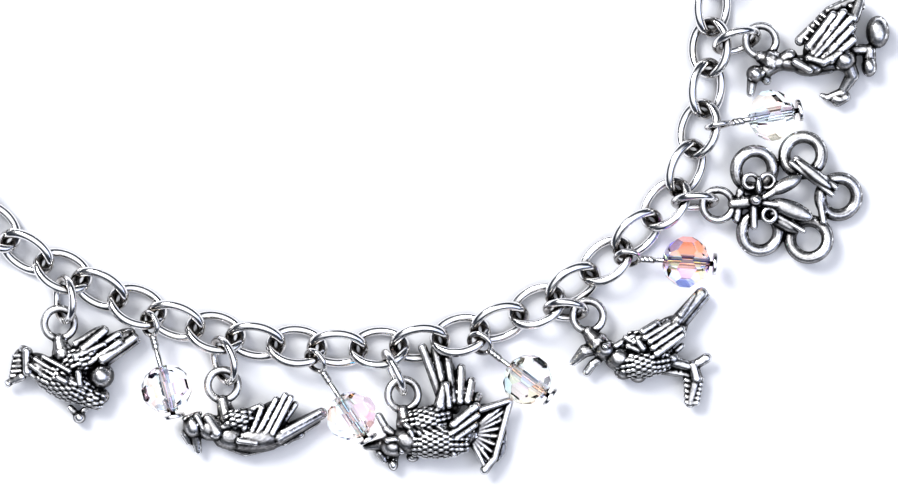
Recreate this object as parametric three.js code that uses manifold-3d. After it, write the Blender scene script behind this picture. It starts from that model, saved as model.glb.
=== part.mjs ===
// Charm bracelet: an oval cable chain lying in a whole loop, with six cast bird and ring charms on
// jump rings and five round faceted crystals on head pins. Millimetres, +Z up, lying on z = 0.
import * as THREE from "three";
import { mergeVertices } from "three/addons/utils/BufferGeometryUtils.js";
import Module from "manifold-3d";

const wasm = await Module();
wasm.setup();

// ---- driving dimensions, in millimetres and degrees ----
const LINK = { length: 5.28, width: 4.2, wire: 0.79, steps: 12, sides: 5 };
const JOINED_LINK = { ...LINK, steps: 12, sides: 4 };
const SOLDER = { reach: 0.4, radius: 0.28, sides: 4 };
const PITCH = 3.48;
const CHAIN_HEIGHT = 1.55;
const OUTER_SIDE_UP = -34;
const OUTER_SIDE_DOWN = 42;
const SEPARATE_LINKS = 24;
const LINKS_BEFORE_CLASP = 38;
const LINKS = 52;
const LINKS_PER_SECTION = 7;

const JUMP_RING = { wire: 0.66, steps: 12, sides: 5 };
const EYELET = { radius: 1.27, wire: 0.66, steps: 10, sides: 5 };
const PIN = { wire: 0.45, eyeRadius: 1.0, eyeSteps: 10, sides: 5, wrapRadius: 0.42, wrapEnd: 2.2 };
const PIN_HEAD = { radius: 0.95, thickness: 0.35, gap: 0.25, sides: 8 };
const BEAD = { radius: 2.1, length: 3.95, bore: 0.78, sides: 10 };
const CLASP = { radius: 3.42, wire: 1.1, eyeRadius: 1.45, eyeWire: 0.8, roll: -20, steps: 14 };
const CLASP_RING = { radius: 2.4, wire: 0.8, roll: 34, steps: 12, sides: 6 };
const CLASP_GAP = 0.23;
const BLOB = { around: 8, up: 4 };
const LIMB_SIDES = 5;
const FLOOR_BLOCK = 40;

// ---- finishes ----
const FINISH = {
  chain: { color: 0xc9cacb, roughness: 0.22, metalness: 1 },
  cast: { color: 0x8f9092, roughness: 0.35, metalness: 1 },
  crystal: { color: 0xe6e9ee, roughness: 0.05, metalness: 0 },
};

// ---- the way the chain lies, seen from above: points chosen by hand ----
const ROUTE = [
  [-32.7, -14.5], [-26.6, -17.9], [-19.9, -20.9], [-13.1, -22.8], [-6.3, -23.6], [0.5, -23.4],
  [7.4, -21.9], [13.6, -19.1], [19.1, -15.0], [23.6, -10.1], [25.9, -3.3], [26.5, 3.4],
  [26.7, 10.5], [24.4, 17.8], [18.6, 24.1], [8.6, 28.8], [-4.0, 30.5], [-16.6, 28.8],
  [-27.4, 24.1], [-35.0, 17.0], [-39.0, 8.2], [-39.6, -0.9], [-37.5, -8.6],
];

// ---- charms: where the body lies, the middle of its eyelet, and how its jump ring stands ----
const CHARMS = [
  {
    name: "partridge", body: [-28.47, -21.78], eyelet: [-28.5, -21.54],
    ring: { middle: [-28.0, -19.51, 2.04], radius: 1.8, lean: 63, dip: -3, heading: -86 },
  },
  {
    name: "dove", body: [-14.41, -27.63], eyelet: [-14.69, -26.73],
    ring: { middle: [-14.57, -24.66, 2.09], radius: 1.85, lean: 62, dip: 2, heading: -76 },
  },
  {
    name: "hen", body: [0.59, -27.63], eyelet: [0.53, -27.55],
    ring: { middle: [-0.19, -25.67, 2.2], radius: 1.84, lean: 82, dip: 3, heading: -65 },
  },
  {
    name: "calling_bird", body: [16.69, -20.85], eyelet: [16.16, -20.91],
    ring: { middle: [14.27, -20.39, 1.93], radius: 1.64, lean: 65, dip: -12, heading: 2 },
  },
  {
    name: "five_rings", body: [27.12, -11.53], eyelet: [27.12, -11.53],
    ring: { middle: [25.15, -11.24, 2.06], radius: 1.73, lean: 71, dip: 32, heading: -8 },
  },
  {
    name: "goose", body: [31.36, 2.46], eyelet: [30.75, 2.32],
    ring: { middle: [28.67, 2.3, 2.08], radius: 1.83, lean: 60, dip: 39, heading: -4 },
  },
];

// ---- crystals: middle of the pin's eye, how the eye turns about the pin, and the pin's way ----
const CRYSTALS = [
  { name: "crystal_1", eye: [-20.81, -21.57, 2.38], roll: 51, dip: 2.7, heading: -75.6, reach: 5.65 },
  { name: "crystal_2", eye: [-6.84, -24.69, 2.33], roll: 53, dip: 2.2, heading: -56.8, reach: 5.53 },
  { name: "crystal_3", eye: [7.03, -23.21, 2.14], roll: 45, dip: 0.3, heading: -37.5, reach: 5.03 },
  { name: "crystal_4", eye: [19.48, -16.03, 2.13], roll: 55, dip: 0.2, heading: -3.8, reach: 4.94 },
  { name: "crystal_5", eye: [27.11, -4.83, 2.61], roll: 84, dip: 6.1, heading: 10.6, reach: 4.6 },
];

// ---- charm bodies, each measured from its own place ----
// A blob is an ellipsoid turned about Z; a limb is a rod that tapers from one end to the other.
const EYELET_HEIGHT = 1.5;
const BODIES = {
  partridge: {
    blobs: [
      { part: "head", at: [-3.0, -2.8, 1.5], size: [0.8, 1.1, 1.1], turn: 0 },
      { part: "breast", at: [-0.1, -4.6, 1.3], size: [2.7, 1.4, 1.8], turn: -22 },
      { part: "rump", at: [2.3, -5.8, 1.1], size: [1.4, 0.8, 1.1], turn: -10 },
      { part: "pear", at: [3.4, -4.2, 1.7], size: [1.0, 1.0, 1.1], turn: 0 },
      { part: "foot", at: [1.6, -7.7, 0.8], size: [0.6, 0.6, 0.6], turn: 0 },
    ],
    limbs: [
      { part: "beak", from: [-3.1, -3.4, 1.4], to: [-4.3, -4.7, 1.2], radii: [0.6, 0.3] },
      { part: "throat", from: [-2.9, -2.8, 1.5], to: [-1.2, -4.2, 1.4], radii: [0.8, 1.0] },
      { part: "wing", from: [0.2, -4.0, 1.7], to: [6.3, -0.8, 1.7], radii: [0.9, 0.42] },
      { part: "feather", from: [0.2, -3.4, 1.7], to: [3.6, -0.3, 1.8], radii: [0.8, 0.34] },
      { part: "stem", from: [1.8, -5.2, 1.3], to: [3.2, -4.3, 1.6], radii: [0.7, 0.6] },
      { part: "leg", from: [1.1, -6.0, 0.9], to: [1.6, -7.6, 0.8], radii: [0.36, 0.34] },
      { part: "neck", from: [0.0, -1.3, 1.4], to: [-0.1, -3.4, 1.4], radii: [0.5, 0.6] },
    ],
  },
  dove: {
    blobs: [
      { part: "head", at: [-2.7, -2.5, 1.4], size: [0.8, 1.0, 1.1], turn: 0 },
      { part: "breast", at: [-0.5, -3.1, 1.4], size: [1.7, 1.2, 1.3], turn: 0 },
      { part: "belly", at: [2.4, -3.4, 1.3], size: [2.9, 1.4, 1.8], turn: 5 },
    ],
    limbs: [
      { part: "throat", from: [-2.6, -2.7, 1.4], to: [-1.0, -3.0, 1.4], radii: [0.8, 0.8] },
      { part: "beak", from: [-3.0, -3.1, 1.3], to: [-2.3, -4.6, 1.1], radii: [0.42, 0.25] },
      { part: "feather_1", from: [0.8, -2.5, 1.8], to: [3.3, -0.7, 2.0], radii: [0.6, 0.42] },
      { part: "feather_2", from: [1.8, -3.0, 2.0], to: [4.7, -0.3, 2.2], radii: [0.6, 0.47] },
      { part: "feather_3", from: [2.8, -3.3, 2.0], to: [5.7, -0.4, 2.0], radii: [0.6, 0.47] },
      { part: "tail", from: [4.1, -3.6, 1.4], to: [7.8, -1.6, 1.1], radii: [0.93, 0.51] },
      { part: "neck", from: [-0.3, -0.4, 1.4], to: [0.4, -2.6, 1.4], radii: [0.5, 0.68] },
    ],
  },
  hen: {
    blobs: [
      { part: "body", at: [2.2, -2.7, 1.4], size: [3.4, 1.6, 1.9], turn: 0 },
      { part: "head", at: [-1.0, -4.2, 1.4], size: [1.2, 1.0, 1.2], turn: 0 },
      { part: "bill", at: [-2.2, -4.4, 1.2], size: [0.7, 0.5, 0.8], turn: 0 },
      { part: "wattle", at: [-0.8, -5.5, 0.9], size: [0.4, 0.7, 0.7], turn: 0 },
      { part: "crop", at: [0.9, -4.4, 1.0], size: [0.6, 0.7, 0.8], turn: 0 },
    ],
    limbs: [
      { part: "feather_1", from: [2.8, -1.2, 1.8], to: [2.0, 2.3, 1.5], radii: [0.44, 0.4] },
      { part: "feather_2", from: [3.5, -1.2, 1.8], to: [3.0, 2.1, 1.5], radii: [0.44, 0.4] },
      { part: "feather_3", from: [4.2, -1.4, 1.8], to: [3.9, 1.7, 1.5], radii: [0.44, 0.4] },
      { part: "feather_4", from: [4.9, -1.6, 1.8], to: [4.8, 1.2, 1.5], radii: [0.44, 0.4] },
      { part: "tail_1", from: [4.6, -2.6, 1.5], to: [8.3, -0.7, 1.4], radii: [0.9, 0.5] },
      { part: "tail_2", from: [4.6, -2.7, 1.5], to: [8.0, -2.0, 1.4], radii: [0.9, 0.6] },
      { part: "tail_3", from: [4.6, -2.8, 1.5], to: [7.8, -3.4, 1.4], radii: [0.9, 0.6] },
      { part: "tail_4", from: [4.5, -2.9, 1.5], to: [7.4, -4.7, 1.4], radii: [0.9, 0.6] },
      { part: "tail_5", from: [4.5, -3.0, 1.5], to: [7.0, -5.9, 1.4], radii: [0.9, 0.5] },
      { part: "neck", from: [0.0, -1.3, 1.4], to: [0.3, -2.5, 1.4], radii: [0.5, 0.68] },
    ],
  },
  calling_bird: {
    blobs: [
      { part: "head", at: [1.0, -3.0, 1.5], size: [1.0, 0.9, 1.2], turn: 0 },
      { part: "body", at: [3.6, -3.8, 1.4], size: [2.5, 1.4, 1.8], turn: 8 },
      { part: "breast", at: [2.6, -4.6, 1.3], size: [0.9, 0.9, 1.2], turn: 0 },
      { part: "wing", at: [4.8, -2.3, 2.0], size: [2.4, 1.3, 1.2], turn: 37 },
    ],
    limbs: [
      { part: "upper_bill", from: [0.5, -2.7, 1.5], to: [-1.8, -4.0, 1.3], radii: [0.6, 0.3] },
      { part: "lower_bill", from: [0.3, -3.4, 1.3], to: [-0.6, -4.7, 1.1], radii: [0.42, 0.38] },
      { part: "tail", from: [5.9, -1.5, 1.7], to: [8.6, 1.3, 1.2], radii: [0.85, 0.5] },
      { part: "legs", from: [4.7, -4.4, 1.4], to: [8.3, -4.7, 1.3], radii: [0.55, 0.47] },
      { part: "perch_top", from: [9.4, -3.6, 1.2], to: [8.0, -4.9, 1.2], radii: [0.42, 0.51] },
      { part: "perch", from: [8.3, -4.2, 1.2], to: [8.0, -7.3, 1.1], radii: [0.55, 0.47] },
      { part: "neck", from: [0.2, -1.3, 1.4], to: [0.8, -2.6, 1.4], radii: [0.5, 0.6] },
    ],
  },
  goose: {
    blobs: [
      { part: "body", at: [3.0, -2.0, 1.3], size: [3.7, 0.9, 1.6], turn: -3 },
      { part: "breast", at: [3.5, -2.3, 1.4], size: [1.4, 0.8, 1.5], turn: 0 },
      { part: "head", at: [-1.1, -3.1, 1.3], size: [0.8, 0.8, 1.1], turn: 0 },
      { part: "rump", at: [6.4, -1.9, 1.5], size: [1.1, 1.0, 1.3], turn: 0 },
      { part: "egg", at: [9.2, 0.5, 1.4], size: [1.0, 1.4, 1.1], turn: 0 },
      { part: "foot", at: [6.0, -5.0, 0.8], size: [0.8, 0.5, 0.7], turn: 0 },
    ],
    limbs: [
      { part: "bill", from: [-1.3, -3.2, 1.2], to: [-1.5, -4.4, 1.0], radii: [0.51, 0.38] },
      { part: "throat", from: [0.6, -1.9, 1.4], to: [-0.9, -2.8, 1.3], radii: [0.76, 0.68] },
      { part: "wing_root", from: [3.1, -1.2, 2.0], to: [6.5, 2.1, 2.0], radii: [1.1, 0.85] },
      { part: "wing_tip", from: [4.9, 0.7, 2.0], to: [7.4, 3.0, 1.7], radii: [1.0, 0.42] },
      { part: "leg", from: [6.7, -2.3, 1.3], to: [6.4, -4.9, 0.9], radii: [0.68, 0.42] },
      { part: "bar", from: [6.9, -1.2, 1.4], to: [8.7, -0.8, 1.3], radii: [0.51, 0.42] },
      { part: "stalk", from: [8.7, -0.3, 1.3], to: [8.6, -2.9, 1.2], radii: [0.51, 0.6] },
      { part: "neck", from: [0.3, -1.3, 1.4], to: [0.8, -1.9, 1.4], radii: [0.5, 0.68] },
    ],
  },
};
const FIVE_RINGS = {
  radius: 1.72, wire: 0.68, steps: 10, sides: 5, height: 1.15,
  middles: [[3.1, 3.1], [6.7, 4.0], [9.6, 0.8], [7.3, -2.8], [3.5, -2.3]],
  limbs: [
    { part: "upper_bow", from: [3.2, 0.4, 1.5], to: [3.1, 2.1, 1.5], radii: [0.5, 0.8] },
    { part: "lower_bow", from: [3.2, 0.1, 1.5], to: [3.5, -1.2, 1.5], radii: [0.5, 0.8] },
    { part: "upper_ribbon", from: [3.0, 0.4, 1.5], to: [6.2, 2.2, 1.5], radii: [0.55, 0.6] },
    { part: "lower_ribbon", from: [3.0, 0.2, 1.5], to: [6.9, -1.1, 1.5], radii: [0.55, 0.65] },
    { part: "ribbon_end", from: [6.0, 2.2, 1.4], to: [8.3, 1.3, 1.4], radii: [0.5, 0.5] },
    { part: "neck", from: [1.2, 0.0, 1.4], to: [3.2, 0.2, 1.5], radii: [0.5, 0.8] },
  ],
};

// ---- solids ----
function solidOf(geometry) {
  const bare = geometry.clone();
  bare.deleteAttribute("normal");
  bare.deleteAttribute("uv");
  const merged = mergeVertices(bare, 1e-4);
  return new wasm.Manifold(new wasm.Mesh({
    numProp: 3,
    vertProperties: new Float32Array(merged.attributes.position.array),
    triVerts: new Uint32Array(merged.index.array),
  }));
}

function geometryOf(solid) {
  const mesh = solid.getMesh();
  const geometry = new THREE.BufferGeometry();
  geometry.setAttribute("position", new THREE.BufferAttribute(mesh.vertProperties, 3));
  geometry.setIndex(new THREE.BufferAttribute(mesh.triVerts, 1));
  geometry.computeVertexNormals();
  return geometry;
}

function joined(geometries) {
  return geometries.map(solidOf).reduce((whole, piece) => whole.add(piece));
}

// Everything below z = 0 is filed flat, as on a cast back.
function filedFlat(solid) {
  const block = new THREE.BoxGeometry(FLOOR_BLOCK, FLOOR_BLOCK, FLOOR_BLOCK);
  block.translate(0, 0, -FLOOR_BLOCK / 2);
  return solid.subtract(solidOf(block));
}

function hoop(radius, wire, steps, sides) {
  return new THREE.TorusGeometry(radius, wire / 2, sides, steps);
}

// An oval ring of even wire: a hoop whose two halves are drawn apart along X.
function ovalRing({ length, width, wire, steps, sides }) {
  const radius = (width - wire) / 2;
  const stretch = (length - width) / 2;
  const geometry = hoop(radius, wire, steps, sides);
  const position = geometry.attributes.position;
  for (let i = 0; i < position.count; i++) {
    const reach = Math.hypot(position.getX(i), position.getY(i));
    position.setX(i, position.getX(i) * (1 + stretch / reach));
  }
  return geometry;
}

function ellipsoid({ at, size, turn }) {
  const geometry = new THREE.SphereGeometry(1, BLOB.around, BLOB.up);
  geometry.rotateX(Math.PI / 2);
  geometry.scale(...size);
  geometry.rotateZ(THREE.MathUtils.degToRad(turn));
  return geometry.translate(...at);
}

function rod(from, to, radii, sides = LIMB_SIDES) {
  const start = new THREE.Vector3(...from);
  const end = new THREE.Vector3(...to);
  const way = end.clone().sub(start);
  const geometry = new THREE.CylinderGeometry(radii[1], radii[0], way.length(), sides);
  geometry.applyQuaternion(new THREE.Quaternion().setFromUnitVectors(
    new THREE.Vector3(0, 1, 0), way.clone().normalize()));
  return geometry.translate(...start.add(end).multiplyScalar(0.5).toArray());
}

// The eyelet stands where its jump ring needs it, a little off the body's own place.
function eyeletOn([x, y], [bodyX, bodyY]) {
  return hoop(EYELET.radius, EYELET.wire, EYELET.steps, EYELET.sides)
    .translate(x - bodyX, y - bodyY, EYELET_HEIGHT);
}

function castBody({ blobs, limbs }, eyelet) {
  const pieces = [eyelet, ...blobs.map(ellipsoid)];
  limbs.forEach(({ from, to, radii }) => pieces.push(rod(from, to, radii)));
  return geometryOf(filedFlat(joined(pieces)));
}

function fiveRingsBody(eyelet) {
  const { radius, wire, steps, sides, height, middles, limbs } = FIVE_RINGS;
  const pieces = [eyelet];
  middles.forEach(([x, y]) => pieces.push(hoop(radius, wire, steps, sides).translate(x, y, height)));
  limbs.forEach(({ from, to, radii }) => pieces.push(rod(from, to, radii)));
  return geometryOf(filedFlat(joined(pieces)));
}

// A head pin along X: its turned eye round the origin, a wrapped neck, a stem and a flat head.
function headPin(reach) {
  const headStart = reach + BEAD.length / 2 + PIN_HEAD.gap;
  const headEnd = headStart + PIN_HEAD.thickness;
  const stem = [PIN.wire / 2, PIN.wire / 2];
  const wrap = [PIN.wrapRadius, PIN.wrapRadius];
  const head = [PIN_HEAD.radius, PIN_HEAD.radius];
  return geometryOf(joined([
    hoop(PIN.eyeRadius, PIN.wire, PIN.eyeSteps, PIN.sides),
    rod([PIN.eyeRadius, 0, 0], [headEnd, 0, 0], stem, PIN.sides),
    rod([PIN.eyeRadius, 0, 0], [PIN.wrapEnd, 0, 0], wrap, PIN.sides),
    rod([headStart, 0, 0], [headEnd, 0, 0], head, PIN_HEAD.sides),
  ]));
}

// A round cut crystal with a bore along X, its girdle and crown rows as flat facets.
function crystalBead(reach) {
  const half = BEAD.length / 2;
  const bore = BEAD.bore / 2;
  const profile = [
    [bore, -half], [BEAD.radius * 0.5, -half], [BEAD.radius * 0.86, -half * 0.6],
    [BEAD.radius, -half * 0.16], [BEAD.radius, half * 0.16], [BEAD.radius * 0.86, half * 0.6],
    [BEAD.radius * 0.5, half], [bore, half], [bore, -half],
  ];
  const points = profile.map(([radius, along]) => new THREE.Vector2(radius, along));
  const geometry = new THREE.LatheGeometry(points, BEAD.sides);
  return geometry.rotateZ(-Math.PI / 2).translate(reach, 0, 0);
}

function claspBody() {
  const eyeMiddle = CLASP.radius + CLASP.eyeRadius;
  return geometryOf(joined([
    hoop(CLASP.radius, CLASP.wire, CLASP.steps, LINK.sides),
    hoop(CLASP.eyeRadius, CLASP.eyeWire, JUMP_RING.steps, LINK.sides).translate(eyeMiddle, 0, 0),
  ]));
}

// ---- placing along the chain's way ----
const route = new THREE.CatmullRomCurve3(ROUTE.map(([x, y]) => new THREE.Vector3(x, y, 0)), true);
route.arcLengthDivisions = 2000;
const routeLength = route.getLength();

function placeOnRoute(object, along, roll, height) {
  const share = (along / routeLength + 1) % 1;
  const tangent = route.getTangentAt(share);
  object.position.copy(route.getPointAt(share)).setZ(height);
  object.rotation.set(THREE.MathUtils.degToRad(roll), 0, Math.atan2(tangent.y, tangent.x), "ZYX");
  return object;
}

// Link 1 is half a pitch before the route's first point; those past the clasp count back from it.
function linkAlong(number) {
  const past = number > LINKS_BEFORE_CLASP;
  return past ? routeLength - (LINKS + 1.5 - number) * PITCH : (number - 1.5) * PITCH;
}

function linkRoll(number) {
  return number % 2 === 1 ? OUTER_SIDE_UP : OUTER_SIDE_DOWN;
}

// A short bridge between the touching ends of two joined links.
function solderAt(along) {
  const ends = [along - SOLDER.reach, along + SOLDER.reach].map((place) => {
    const { x, y } = route.getPointAt(place / routeLength);
    return [x, y, CHAIN_HEIGHT];
  });
  return rod(ends[0], ends[1], [SOLDER.radius, SOLDER.radius], SOLDER.sides);
}

function finished(name, geometry, finish) {
  const mesh = new THREE.Mesh(geometry, new THREE.MeshStandardMaterial(FINISH[finish]));
  mesh.name = name;
  return mesh;
}

const bracelet = new THREE.Group();

// ---- chain ----
for (let number = 1; number <= SEPARATE_LINKS; number++) {
  const link = finished(`link_${String(number).padStart(2, "0")}`, ovalRing(LINK), "chain");
  bracelet.add(placeOnRoute(link, linkAlong(number), linkRoll(number), CHAIN_HEIGHT));
}

for (let first = SEPARATE_LINKS + 1, section = 1; first <= LINKS; first += LINKS_PER_SECTION) {
  const pieces = [];
  const last = first + LINKS_PER_SECTION - 1;
  for (let number = first; number <= last; number++) {
    const link = new THREE.Mesh(ovalRing(JOINED_LINK));
    placeOnRoute(link, linkAlong(number), linkRoll(number), CHAIN_HEIGHT).updateMatrix();
    pieces.push(link.geometry.applyMatrix4(link.matrix));
    if (number < last) {
      pieces.push(solderAt(linkAlong(number) + PITCH / 2));
    }
  }
  bracelet.add(finished(`chain_section_${section}`, geometryOf(joined(pieces)), "chain"));
  section += 1;
}

// ---- clasp, with the ring that ties it to the chain ----
const linkEnd = (LINK.length - LINK.wire) / 2;
const lastLinkEnd = linkAlong(LINKS_BEFORE_CLASP) + linkEnd;
const claspAlong = lastLinkEnd - (LINK.wire + CLASP.wire) / 2 - CLASP_GAP + CLASP.radius;
const claspEyeEnd = claspAlong + CLASP.radius + 2 * CLASP.eyeRadius;
const ringAlong = claspEyeEnd - (CLASP.eyeWire + CLASP_RING.wire) / 2 - CLASP_GAP
  + CLASP_RING.radius;

function lyingHeight(radius, wire, roll) {
  return radius * Math.sin(THREE.MathUtils.degToRad(Math.abs(roll))) + wire / 2;
}

const claspHeight = lyingHeight(CLASP.radius, CLASP.wire, CLASP.roll);
const ringHeight = lyingHeight(CLASP_RING.radius, CLASP_RING.wire, CLASP_RING.roll);
const tieRing = hoop(CLASP_RING.radius, CLASP_RING.wire, CLASP_RING.steps, CLASP_RING.sides);
bracelet.add(placeOnRoute(finished("clasp", claspBody(), "chain"),
  claspAlong, CLASP.roll, claspHeight));
bracelet.add(placeOnRoute(finished("clasp_ring", tieRing, "chain"),
  ringAlong, CLASP_RING.roll, ringHeight));

// ---- charms on their jump rings ----
for (const { name, body, eyelet, ring } of CHARMS) {
  const loop = eyeletOn(eyelet, body);
  const shape = name === "five_rings" ? fiveRingsBody(loop) : castBody(BODIES[name], loop);
  const charm = finished(`charm_${name}`, shape, "cast");
  charm.position.set(...body, 0);
  bracelet.add(charm);
  const ringShape = hoop(ring.radius, JUMP_RING.wire, JUMP_RING.steps, JUMP_RING.sides);
  const jumpRing = finished(`jump_ring_${name}`, ringShape, "chain");
  jumpRing.position.set(...ring.middle);
  jumpRing.rotation.set(
    ...[ring.lean, ring.dip, ring.heading].map(THREE.MathUtils.degToRad), "ZYX");
  bracelet.add(jumpRing);
}

// ---- crystals on their head pins ----
for (const { name, eye, roll, dip, heading, reach } of CRYSTALS) {
  const drop = new THREE.Group();
  drop.position.set(...eye);
  drop.rotation.set(...[roll, dip, heading].map(THREE.MathUtils.degToRad), "ZYX");
  drop.add(finished(name, crystalBead(reach), "crystal"));
  drop.add(finished(`head_pin_${name.slice(-1)}`, headPin(reach), "chain"));
  bracelet.add(drop);
}

// ---- origin: middle of the whole, on the surface it lies on ----
const outline = new THREE.Box3().setFromObject(bracelet, true);
bracelet.position.set(
  -(outline.min.x + outline.max.x) / 2, -(outline.min.y + outline.max.y) / 2, -outline.min.z);

export default bracelet;
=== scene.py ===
# A silver charm bracelet lying in a whole loop: oval cable chain, cast charms and cut crystals.
import math

import bmesh
import bpy
from mathutils import Matrix, Vector


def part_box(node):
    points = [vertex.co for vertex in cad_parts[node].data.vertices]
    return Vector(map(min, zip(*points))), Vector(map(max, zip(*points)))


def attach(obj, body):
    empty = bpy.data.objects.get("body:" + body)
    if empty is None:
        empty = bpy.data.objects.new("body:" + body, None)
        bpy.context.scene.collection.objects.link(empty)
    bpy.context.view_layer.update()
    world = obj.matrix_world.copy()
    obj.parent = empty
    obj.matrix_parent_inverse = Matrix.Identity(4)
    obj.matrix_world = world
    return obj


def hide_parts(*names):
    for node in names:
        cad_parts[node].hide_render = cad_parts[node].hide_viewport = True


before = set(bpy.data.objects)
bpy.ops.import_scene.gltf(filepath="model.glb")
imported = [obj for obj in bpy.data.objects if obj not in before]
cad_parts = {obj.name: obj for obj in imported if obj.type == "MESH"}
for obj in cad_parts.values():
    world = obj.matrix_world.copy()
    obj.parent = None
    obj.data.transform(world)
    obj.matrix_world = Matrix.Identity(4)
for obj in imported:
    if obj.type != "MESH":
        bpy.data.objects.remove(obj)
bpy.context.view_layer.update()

# ---- sizes, in millimetres and degrees; meshes are scaled to metres at the end ----
MM = 0.001
LINK_LENGTH, LINK_WIDTH, LINK_WIRE = 5.28, 4.2, 0.79
LINK_STEPS, LINK_SIDES = 56, 18
PITCH = 3.48
CHAIN_HEIGHT = 1.55
OUTER_SIDE_UP, OUTER_SIDE_DOWN = -34, 42
SEPARATE_LINKS, LINKS_BEFORE_CLASP, LINKS, LINKS_PER_SECTION = 24, 38, 52, 7
RING_WIRE, RING_CUT = 0.66, 2.5
EYELET_RADIUS, EYELET_WIRE, EYELET_HEIGHT = 1.27, 0.68, 1.5
PIN_WIRE, EYE_RADIUS = 0.45, 1.0
WRAP_START, WRAP_END, WRAP_TURNS, WRAP_RADIUS = 1.18, 2.1, 2.5, 0.27
HEAD_GAP, HEAD_THICKNESS, HEAD_RADIUS = 0.25, 0.35, 0.95
BEAD_RADIUS, BEAD_LENGTH, BORE_RADIUS = 2.08, 3.95, 0.39
CLASP = {"radius": 3.42, "wire": 1.1, "eye": 1.45, "eye_wire": 0.8, "roll": -20}
CLASP_RING = {"radius": 2.4, "wire": 0.8, "roll": 34}
CLASP_GAP = 0.23
CAST_GRAIN = 0.07
PHOTO_ASPECT = 898 / 500

# ---- the chain's way, from above, and what hangs on it ----
ROUTE = [
    (-32.7, -14.5), (-26.6, -17.9), (-19.9, -20.9), (-13.1, -22.8), (-6.3, -23.6), (0.5, -23.4),
    (7.4, -21.9), (13.6, -19.1), (19.1, -15.0), (23.6, -10.1), (25.9, -3.3), (26.5, 3.4),
    (26.7, 10.5), (24.4, 17.8), (18.6, 24.1), (8.6, 28.8), (-4.0, 30.5), (-16.6, 28.8),
    (-27.4, 24.1), (-35.0, 17.0), (-39.0, 8.2), (-39.6, -0.9), (-37.5, -8.6),
]
# name: body place, eyelet place, then the jump ring's middle, radius, lean, dip and heading
CHARMS = {
    "partridge": ((-28.47, -21.78), (-28.5, -21.54), (-28.0, -19.51, 2.04), 1.8, 63, -3, -86),
    "dove": ((-14.41, -27.63), (-14.69, -26.73), (-14.57, -24.66, 2.09), 1.85, 62, 2, -76),
    "hen": ((0.59, -27.63), (0.53, -27.55), (-0.19, -25.67, 2.2), 1.84, 82, 3, -65),
    "calling_bird": ((16.69, -20.85), (16.16, -20.91), (14.27, -20.39, 1.93), 1.64, 65, -12, 2),
    "five_rings": ((27.12, -11.53), (27.12, -11.53), (25.15, -11.24, 2.06), 1.73, 71, 32, -8),
    "goose": ((31.36, 2.46), (30.75, 2.32), (28.67, 2.3, 2.08), 1.83, 60, 39, -4),
}
# the pin's eye, its roll, dip and heading, how far out the crystal sits, and the strength of the
# coating and of its painted rainbow tints
CRYSTALS = [
    ((-20.81, -21.57, 2.38), 51, 2.7, -75.6, 5.65, 0.35),
    ((-6.84, -24.69, 2.33), 53, 2.2, -56.8, 5.53, 0.45),
    ((7.03, -23.21, 2.14), 45, 0.3, -37.5, 5.03, 0.3),
    ((19.48, -16.03, 2.13), 55, 0.2, -3.8, 4.94, 1.0),
    ((27.11, -4.83, 2.61), 84, 6.1, 10.6, 4.6, 0.2),
]
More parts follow.
